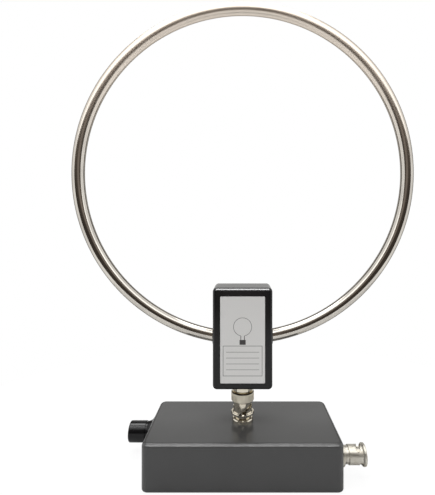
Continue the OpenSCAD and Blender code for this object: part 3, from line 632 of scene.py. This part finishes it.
@dataclass(frozen=True)
class Rubber:
    """Soft rubber: dull, with a dusty bloom in patches."""

    name: str
    colour: Colour
    dust: int = 22
    bloom: float = 3 * MM
    bloom_range: Pair = (0.45, 0.75)
    bloom_share: float = 0.6
    gloss: Pair = (0.6, 0.8)
    skin: float = 0.2 * MM
    skin_depth: float = 0.01 * MM

    def material(self) -> bpy.types.Material:
        """Builds the material: slow noise lays the bloom, fine noise the skin.

        Returns:
            The material.
        """
        sheet = Sheet(self.name)
        point = sheet.place()
        bloom = sheet.noise(point, self.bloom, 5.0)
        dusted = sheet.span(bloom, self.bloom_range, (0.0, self.bloom_share))
        dusty = shade(tuple(min(FULL, part + self.dust) for part in self.colour))
        return sheet.finish(
            Base_Color=sheet.tint(dusted, shade(self.colour), dusty),
            Roughness=sheet.span(bloom, NOISE_RANGE, self.gloss),
            Normal=sheet.bump(sheet.noise(point, self.skin), self.skin_depth),
        )


def grid_mesh(name: str, points: np.ndarray, wrap: tuple[bool, bool] = (False, False), grid: str = "",
              capped: bool = False) -> bpy.types.Object:
    """Makes a mesh from a grid of points: each cell of four neighbours is a face.

    Args:
        name: Name of the piece.
        points: Array of rows by columns by three, in metres.
        wrap: Whether the last row joins the first, and the last column the first.
        grid: Name of a UV map that runs from 0 to 1 along the rows and the columns, or nothing.
        capped: Whether the first and the last row are each closed by a flat face.

    Returns:
        The new object, smooth shaded and linked to the scene.
    """
    rows, columns = points.shape[:2]
    row = np.arange(rows if wrap[0] else rows - 1)[:, None]
    column = np.arange(columns if wrap[1] else columns - 1)[None, :]
    after, beside = row + 1, column + 1
    corners = [(row, column), (row, beside), (after, beside), (after, column)]
    faces = np.stack([(a % rows) * columns + b % columns for a, b in corners], axis=-1).reshape(-1, 4)
    caps = [np.arange(columns)[::-1], np.arange(columns) + (rows - 1) * columns] if capped else []
    mesh = bpy.data.meshes.new(name)
    mesh.from_pydata(points.reshape(-1, 3), [], [*faces.tolist(), *(cap.tolist() for cap in caps)])
    mesh.polygons.foreach_set("use_smooth", np.arange(len(faces) + len(caps)) < len(faces))
    if grid:
        shape = np.broadcast_shapes(row.shape, column.shape)
        uv = [
            np.stack([np.broadcast_to(a / rows, shape), np.broadcast_to(b / columns, shape)], axis=-1)
            for a, b in corners
        ]
        layer = mesh.uv_layers.new(name=grid)
        cells = np.stack(uv, axis=2).ravel()
        layer.data.foreach_set("uv", np.pad(cells, (0, 2 * columns * len(caps))).astype(np.float32))
    piece = bpy.data.objects.new(name, mesh)
    bpy.context.scene.collection.objects.link(piece)
    return piece


def dress(finish: Finish, *names: str) -> None:
    """Gives frame nodes one finish.

    Args:
        finish: The finish.
        *names: Nodes that get it.
    """
    material = finish.material()
    for name in names:
        mesh = NODES[name].data
        mesh.materials.clear()
        mesh.materials.append(material)
        log.info("dressed %s in %s", name, finish.name)


def ride(piece: bpy.types.Object, finish: Finish, body: str) -> None:
    """Gives a new piece its finish and lets it move with a body.

    Args:
        piece: The new piece.
        finish: The finish.
        body: Body that carries it.
    """
    piece.data.materials.append(finish.material())
    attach(piece, body)
    log.info("made %s on %s", piece.name, body)


@dataclass
class BaseBox:
    """Grey base box with its cover, screws and electronics."""

    grey: Finish = MouldedPlastic("grey_case_plastic", (62, 62, 62), 0.25, tone=0.05)
    board: Finish = CircuitBoard("main_board_mask")
    foil: Finish = TurnedMetal("cell_foil", (190, 192, 196), 0.4, Axis.X)
    tin: Finish = TurnedMetal("tin_plate", (196, 196, 192), 0.3, Axis.X)
    zinc: Finish = TurnedMetal("zinc_screws", SCREW_ZINC, 0.3)

    def build(self) -> None:
        """Dresses the box and what is inside it."""
        dress(self.grey, "base_shell", "base_cover")
        dress(self.board, "main_board")
        dress(self.foil, "battery")
        dress(self.tin, "shield_can")
        dress(self.zinc, "cover_screws", "board_screws")


@dataclass
class RearFittings:
    """Power switch, charge socket and lamp in the back wall."""

    tin: Finish = TurnedMetal("switch_tin", (180, 182, 184), 0.3, Axis.X)
    slider: Finish = MouldedPlastic("slider_black", (24, 24, 26), 0.35)
    shell: Finish = TurnedMetal("socket_shell", (198, 198, 196), 0.25, Axis.Y)
    tongue: Finish = MouldedPlastic("tongue_black", (18, 18, 18), 0.5)
    lamp: Finish = MouldedPlastic("lamp_red", (170, 40, 30), 0.15, tone=0.2)

    def build(self) -> None:
        """Dresses the fittings."""
        dress(self.tin, "switch_body")
        dress(self.slider, "switch_slider")
        dress(self.shell, "charge_socket")
        dress(self.tongue, "charge_tongue")
        dress(self.lamp, "charge_lamp")


@dataclass
class TuningKnob:
    """Tuning control on the left wall with its black knob."""

    black: Finish = MouldedPlastic("knob_black", (14, 14, 15), 0.2, depth=0.004 * MM, level=0.3)
    zinc: Finish = TurnedMetal("control_zinc", (182, 182, 180), 0.3, Axis.X)

    def build(self) -> None:
        """Dresses the knob and the control behind it."""
        dress(self.black, "tuning_knob")
        dress(self.zinc, "tuning_control", "control_washer", "control_nut", "control_shaft")


@dataclass
class LoopConnector:
    """Jack, coupling nut and plug between the base and the head."""

    nickel: Finish = TurnedMetal("connector_nickel", (222, 215, 199), 0.12)
    knurled: Finish = TurnedMetal("knurl_nickel", (224, 217, 200), 0.36)
    zinc: Finish = TurnedMetal("washer_zinc", WASHER_ZINC, 0.3)
    gold: Finish = TurnedMetal("contact_gold", CONTACT_GOLD, 0.2)
    white: Finish = MouldedPlastic("white_insulator", INSULATOR_WHITE, 0.4)
    seal: Finish = Rubber("seal_rubber", SEAL_RED)
    grip_r: float = 7.2 * MM
    grip_len: float = 5.6 * MM
    grip_ease: float = 0.5 * MM
    knurls: int = 90
    knurl_columns: int = 8
    knurl_rows: int = 57
    knurl_depth: float = 0.09 * MM
    knurl_fade: float = 0.3 * MM
    stand: float = 0.02 * MM
    buried: float = 0.3 * MM

    def build(self) -> None:
        """Dresses the connector and adds the knurling of the grip."""
        dress(self.nickel, "jack_body", "jack_nut", "coupling_nut", "plug_body", "plug_nut")
        dress(self.zinc, "jack_washer", "spring_washer")
        dress(self.gold, "jack_contact", "plug_pin")
        dress(self.white, "jack_insulator", "plug_insulator")
        dress(self.seal, "plug_seal")
        ride(self.grip_knurl(), self.knurled, "loop_nut")

    def grip_knurl(self) -> bpy.types.Object:
        """Makes the knurled skin of the grip ring.

        The radius at turn a and height h is the ring's radius less a depth times the larger of two
        sloping saw-tooth waves, which leaves rows of small diamonds; it fades out at both ends. Two
        more rows, inside the ring and back to the first height, close the skin.

        Returns:
            The knurled skin.
        """
        grip_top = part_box("coupling_nut")[1].z
        radius = self.grip_r + self.stand + self.knurl_depth
        first, last = 0.0, self.grip_len - self.grip_ease
        height = np.linspace(first, last, self.knurl_rows)[:, None]
        turn = np.linspace(0, math.tau, self.knurls * self.knurl_columns, endpoint=False)[None, :]
        pitch = math.tau * radius / self.knurls
        tooth, slant = turn * self.knurls / math.tau, height / pitch
        rise = np.abs((tooth + slant) % 1 - 0.5)
        fall = np.abs((tooth - slant) % 1 - 0.5)
        fade = np.clip(np.minimum(height - first, last - height) / self.knurl_fade, 0, 1)
        depth = self.knurl_depth * (1 - fade * (1 - 2 * np.minimum(rise, fall)))
        inner = np.full((2, turn.shape[1]), self.grip_r - self.buried)
        reach = np.concatenate([radius - depth, inner])
        height = np.concatenate([height, [[last], [first]]])
        points = np.stack(
            [
                reach * np.cos(turn),
                reach * np.sin(turn),
                np.broadcast_to(height, reach.shape) + grip_top - self.grip_len,
            ],
            axis=-1,
        )
        return grid_mesh("grip_knurl", points, (True, True))


@dataclass
class OutgoingPlug:
    """Plug on the right wall with its own coupling nut."""

    nickel: Finish = TurnedMetal("outgoing_nickel", (206, 202, 191), 0.36, Axis.X)
    zinc: Finish = TurnedMetal("out_washer_zinc", WASHER_ZINC, 0.3, Axis.X)
    gold: Finish = TurnedMetal("out_pin_gold", CONTACT_GOLD, 0.2, Axis.X)
    white: Finish = MouldedPlastic("out_insulator", INSULATOR_WHITE, 0.4)
    seal: Finish = Rubber("out_seal_rubber", SEAL_RED)

    def build(self) -> None:
        """Dresses the plug."""
        dress(self.nickel, "out_plug_body", "out_plug_nut", "out_coupling_nut")
        dress(self.zinc, "out_plug_washer")
        dress(self.gold, "out_plug_pin")
        dress(self.white, "out_plug_insulator")
        dress(self.seal, "out_plug_seal")


@dataclass
class Head:
    """Black head box with its silver label and what is inside."""

    black: Finish = MouldedPlastic(
        "head_black_plastic", (13, 13, 14), 0.22, depth=0.004 * MM, tone=0.05, level=0.34)
    zinc: Finish = TurnedMetal("head_zinc", SCREW_ZINC, 0.3, Axis.Y)
    board: Finish = CircuitBoard("head_board_mask")
    moulding: Finish = MouldedPlastic("transformer_black", (22, 22, 22), 0.5)
    gold: Finish = TurnedMetal("lead_gold", CONTACT_GOLD, 0.25, Axis.Y)
    silver: Colour = (224, 223, 221)
    ink: Colour = (64, 62, 62)
    panel_height_share: float = 0.258
    panel_half_shares: Pair = (0.435, 0.172)
    ring_height_share: float = 0.65

    def build(self) -> None:
        """Dresses the head."""
        dress(self.black, "head_case", "head_cover")
        dress(self.label(), "head_label")
        dress(self.zinc, "head_screws", "head_board_screws", "clamp_screws")
        dress(self.board, "head_board")
        dress(self.moulding, "transformer")
        dress(self.gold, "head_leads")

    def label(self) -> LabelFoil:
        """Sets out the label's foil, with its symbol in the upper half and its panel in the lower one.

        Returns:
            The foil.
        """
        low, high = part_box("head_label")
        width, height, middle = high.x - low.x, high.z - low.z, (low.x + high.x) / 2
        half_across, half_upright = self.panel_half_shares
        return LabelFoil(
            "label_silver_foil", self.silver, self.ink,
            panel_centre=(middle, low.z + height * self.panel_height_share),
            panel_half=(width * half_across, height * half_upright),
            ring_centre=(middle, low.z + height * self.ring_height_share),
        )


@dataclass
class Loop:
    """Bent stainless tube with its clamps and grommets."""

    polish: Finish = DrawnTube("polished_stainless", STAINLESS, 0.1)
    core: Finish = TurnedMetal("stainless_core", STAINLESS, 0.12)
    rubber: Finish = Rubber("grommet_rubber", (26, 26, 26))
    brass: Finish = TurnedMetal("clamp_brass", (206, 170, 96), 0.3, Axis.Y)
    along: int = 900
    around: int = 96
    end_x: float = 6.9 * MM

    def build(self) -> None:
        """Makes the tube and dresses its holders."""
        tube = self.tube()
        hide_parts("loop_tube")
        ride(tube, self.polish, "head")
        dress(self.core, "loop_tube")
        dress(self.rubber, "tube_grommets")
        dress(self.brass, "tube_clamps")

    def tube(self) -> bpy.types.Object:
        """Makes the tube's skin: a circle carried along an arc that is open at the bottom.

        The arc's radius, centre and tube radius come from the node's own box: it is as wide as the
        whole ring, its depth is the tube's thickness, and its top is the top of the ring.

        Returns:
            The tube's skin.
        """
        low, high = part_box("loop_tube")
        tube_r = (high.y - low.y) / 2
        ring_r = (high.x - low.x) / 2 - tube_r
        centre_z = high.z - ring_r - tube_r
        gap = math.asin(self.end_x / ring_r)
        turn = np.linspace(gap - math.pi / 2, 1.5 * math.pi - gap, self.along)[:, None]
        girth = np.linspace(0, math.tau, self.around, endpoint=False)[None, :]
        reach = ring_r + tube_r * np.cos(girth)
        points = np.stack(
            [
                reach * np.cos(turn),
                np.broadcast_to(tube_r * np.sin(girth), (self.along, self.around)),
                centre_z + reach * np.sin(turn),
            ],
            axis=-1,
        )
        return grid_mesh("polished_loop", points, (False, True), TUBE_GRID, capped=True)


def link_light(source: bpy.types.Object, names: Names, reach: Reach) -> None:
    """Lets a light fall on some nodes alone, or on all but them.

    Args:
        source: The lamp or glowing card.
        names: The nodes.
        reach: Whether it falls on these nodes or on the others.
    """
    group = bpy.data.collections.new(f"{source.name}_nodes")
    for name in names:
        group.objects.link(NODES[name])
    for item in group.collection_objects:
        item.light_linking.link_state = reach.value
    source.light_linking.receiver_collection = group


@dataclass(frozen=True)
class Card:
    """Flat sheet across the view that only gloss sees, as a photographer's flag.

    It is even across, and its first and last edges are given by their y and z. Its tone runs from one
    colour to the other with the distance from a point on it, given by its x and z. Width and height
    count in that distance by their shares: no width makes level bands, more height a wide oval.
    """

    name: str
    half_width: float
    first_edge: Pair
    last_edge: Pair
    near: Colour
    far: Colour
    middle: Pair = (0.0, 0.2)
    fade: Pair = (0.1, 0.2)
    shares: Pair = (1.0, 1.0)
    glow: float = 1.0
    not_on: Names = ()
    lines: int = 3

    def build(self) -> None:
        """Hangs the sheet where the lens doesn't see it and it throws neither light nor shadow."""
        card = self.surface()
        card.data.materials.append(self.cloth())
        card.visible_camera = False
        card.visible_diffuse = False
        card.visible_shadow = False
        if self.not_on:
            link_light(card, self.not_on, Reach.ALL_OTHERS)
        log.info("hung %s", self.name)

    def surface(self) -> bpy.types.Object:
        """Makes the sheet: a small grid that runs straight from one edge's y and z to the other's.

        Returns:
            The sheet.
        """
        across = np.linspace(-self.half_width, self.half_width, self.lines)[None, :]
        share = np.linspace(0, 1, self.lines)[:, None]
        deep, upright = (a + (b - a) * share for a, b in zip(self.first_edge, self.last_edge))
        shape = (self.lines, self.lines)
        points = np.stack([np.broadcast_to(part, shape) for part in (across, deep, upright)], axis=-1)
        return grid_mesh(self.name, points)

    def cloth(self) -> bpy.types.Material:
        """Builds the glowing cloth: its tone follows the length from the middle, times the shares.

        Returns:
            The material.
        """
        sheet = Sheet(f"{self.name}_cloth")
        wide, high = self.shares
        point = sheet.place((wide, 0.0, high))
        away = sheet.add("ShaderNodeVectorMath", {"operation": "ADD"}, Vector=point)
        away.inputs[1].default_value = (-self.middle[0] * wide, 0.0, -self.middle[1] * high)
        length = sheet.add("ShaderNodeVectorMath", {"operation": "LENGTH"}, Vector=away.outputs[0])
        share = sheet.span(length.outputs["Value"], self.fade)
        tone = sheet.tint(share, shade(self.near), shade(self.far))
        return sheet.close(sheet.add("ShaderNodeEmission", Color=tone, Strength=self.glow))


@dataclass(frozen=True)
class SoftBox:
    """Rectangular soft box that faces a point."""

    name: str
    spot: Triple
    target: Triple
    width: float
    height: float
    watts: float
    in_gloss: bool = True
    edges_of: Names = ()
    not_on: Names = ()

    def build(self) -> None:
        """Hangs the lamp; one that is there for the edges of some nodes is seen in their gloss alone."""
        lamp = bpy.data.lights.new(self.name, "AREA")
        lamp.shape = "RECTANGLE"
        lamp.size = self.width
        lamp.size_y = self.height
        lamp.energy = self.watts
        box = bpy.data.objects.new(self.name, lamp)
        box.location = self.spot
        aim = Vector(self.target) - Vector(self.spot)
        box.rotation_euler = aim.to_track_quat("-Z", "Y").to_euler()
        box.visible_glossy = self.in_gloss
        if self.edges_of:
            box.visible_diffuse = False
            link_light(box, self.edges_of, Reach.ONLY_THESE)
        if self.not_on:
            link_light(box, self.not_on, Reach.ALL_OTHERS)
        bpy.context.scene.collection.objects.link(box)
        log.info("lit %s", self.name)


@dataclass
class Studio:
    """White floor and background, soft boxes, dark flags for the metal, and the camera."""

    width_px: int = 435
    height_px: int = 495
    focal_px: float = 370.0
    axis_x_px: float = 242.6
    horizon_px: float = 231.0
    film_width_mm: float = 36.0
    lens_y: float = -238.7 * MM
    lens_z: float = 149.4 * MM
    nearest: float = 5 * MM
    brightest: float = 1.3
    ambient: float = 0.3
    floor_r: float = 0.26
    floor_lines: int = 33
    floor_drop: float = 0.2 * MM
    floor_paper: Colour = (199, 199, 199)
    floor_white: float = 1.06
    floor_glow: float = 0.88
    lamps: tuple[SoftBox, ...] = (
        SoftBox("front_strip", spot=(-0.1, -0.37, 0.95), target=(-0.1, 0.0, 0.1),
                width=0.75, height=0.38, watts=6.4, not_on=CONNECTOR),
        SoftBox("back_strip", spot=(-0.1, 0.22, 0.95), target=(-0.1, 0.0, 0.1),
                width=0.75, height=0.38, watts=6.4),
        SoftBox("left_box", spot=(-0.75, -0.25, 0.35), target=(0.0, 0.0, 0.12),
                width=0.7, height=0.9, watts=1.7, in_gloss=False),
        SoftBox("right_box", spot=(0.75, -0.2, 0.35), target=(0.0, 0.0, 0.12),
                width=0.7, height=0.9, watts=2.1, in_gloss=False),
        SoftBox("base_edge_strip", spot=(0.0, -0.25, 0.27), target=(0.0, 0.0, 0.03),
                width=0.5, height=0.1, watts=2.1, edges_of=("base_shell",)),
        SoftBox("head_edge_strip", spot=(0.0, -0.25, 0.36), target=(0.0, 0.0, 0.115),
                width=0.3, height=0.28, watts=10.0, edges_of=("head_case", "head_cover")),
        SoftBox("connector_spot", spot=(0.02, -0.25, 0.45), target=(0.0, 0.0, 0.035),
                width=0.1, height=0.2, watts=1.6, edges_of=CONNECTOR),
    )
    flags: tuple[Card, ...] = (
        Card("front_flag", half_width=0.4, first_edge=(-0.265, 0.02), last_edge=(-0.265, 0.19),
             near=(165, 154, 143), far=(66, 60, 55), middle=(0.0, 0.0), fade=(0.06, 0.2),
             shares=(4.0, 1.0)),
        Card("front_rise", half_width=0.4, first_edge=(-0.265, 0.19), last_edge=(-0.265, 0.32),
             near=(66, 60, 55), far=(116, 107, 98), middle=(0.0, 0.19), fade=(0.0, 0.13),
             shares=(0.0, 1.0)),
        Card("front_patch", half_width=0.16, first_edge=(-0.2625, 0.19), last_edge=(-0.2625, 0.287),
             near=(140, 131, 124), far=(76, 69, 63), middle=(0.0, 0.255), fade=(0.06, 0.155),
             shares=(1.0, 2.4)),
        Card("front_shelf", half_width=0.12, first_edge=(-0.263, 0.29), last_edge=(-0.205, 0.29),
             near=(56, 50, 46), far=(62, 56, 51)),
        Card("front_glow", half_width=0.5, first_edge=(-0.27, 0.32), last_edge=(-0.27, 0.8),
             near=(255, 255, 255), far=(250, 250, 250), glow=1.8, not_on=CONNECTOR),
        Card("back_flag", half_width=0.6, first_edge=(0.4, 0.0), last_edge=(0.4, 0.75),
             near=(228, 227, 225), far=(92, 88, 84), fade=(0.16, 0.27)),
    )

    def build(self) -> None:
        """Sets the view, the world, the floor, the lights, the flags and the camera."""
        bpy.context.scene.view_settings.view_transform = "Standard"
        bpy.context.scene.cycles.sample_clamp_direct = self.brightest
        bpy.context.scene.cycles.sample_clamp_indirect = self.brightest
        self.world()
        self.floor()
        for piece in (*self.lamps, *self.flags):
            piece.build()
        self.camera()

    def world(self) -> None:
        """Makes the world: white to the lens and to gloss, and a plain level of light otherwise."""
        world = bpy.data.worlds.new("studio_white")
        bpy.context.scene.world = world
        world.use_nodes = True
        nodes = NodeTree(world.node_tree)
        path = nodes.add("ShaderNodeLightPath").outputs
        lit = nodes.add("ShaderNodeBackground", Strength=self.ambient)
        white = nodes.add("ShaderNodeBackground", Color=PURE_WHITE)
        seen = path["Is Camera Ray"]
        for ray in ("Is Glossy Ray", "Is Transmission Ray"):
            seen = nodes.maths("MAXIMUM", seen, path[ray])
        nodes.add("ShaderNodeOutputWorld", Surface=nodes.blend(seen, lit, white).outputs[0])

    def floor(self) -> None:
        """Makes the floor: a round pale sheet that shows white and keeps a faint shadow.

        A square grid is drawn onto the disc, with neither seam nor pole: each side is shortened by the
        root of one less half of the other side's square.
        """
        side = np.linspace(-1, 1, self.floor_lines)
        across, deep = side[None, :], side[:, None]
        points = np.stack(
            [
                self.floor_r * across * np.sqrt(1 - deep**2 / 2),
                self.floor_r * deep * np.sqrt(1 - across**2 / 2),
                np.full((self.floor_lines, self.floor_lines), -self.floor_drop),
            ],
            axis=-1,
        )
        floor = grid_mesh("studio_floor", points)
        sheet = Sheet("floor_paper")
        paper = sheet.add("ShaderNodeBsdfDiffuse", Color=shade(self.floor_paper))
        glow = sheet.add("ShaderNodeEmission", Color=PURE_WHITE, Strength=self.floor_white)
        seen = sheet.add("ShaderNodeLightPath").outputs["Is Camera Ray"]
        share = sheet.maths("MULTIPLY", seen, self.floor_glow)
        floor.data.materials.append(sheet.close(sheet.blend(share, paper, glow)))

    def camera(self) -> None:
        """Sets the level camera, with the small shift that puts its axis where the photograph has it."""
        lens = bpy.data.cameras.new("photo_camera")
        lens.sensor_fit = "HORIZONTAL"
        lens.sensor_width = self.film_width_mm
        lens.lens = self.focal_px / self.width_px * self.film_width_mm
        lens.shift_x = (self.width_px / 2 - self.axis_x_px) / self.width_px
        lens.shift_y = (self.horizon_px - self.height_px / 2) / self.width_px
        lens.clip_start = self.nearest
        camera = bpy.data.objects.new("photo_camera", lens)
        camera.location = (0.0, self.lens_y, self.lens_z)
        camera.rotation_euler = (math.pi / 2, 0.0, 0.0)
        bpy.context.scene.collection.objects.link(camera)
        bpy.context.scene.camera = camera


def main() -> None:
    """Builds the studio and each sub-assembly in order, and logs each one's name."""
    logging.basicConfig(level=logging.INFO, format="%(message)s")
    for part in (
        Studio(), BaseBox(), RearFittings(), TuningKnob(), LoopConnector(), OutgoingPlug(), Head(), Loop(),
    ):
        log.info("building %s", type(part).__name__)
        part.build()


if __name__ == "__main__":
    main()
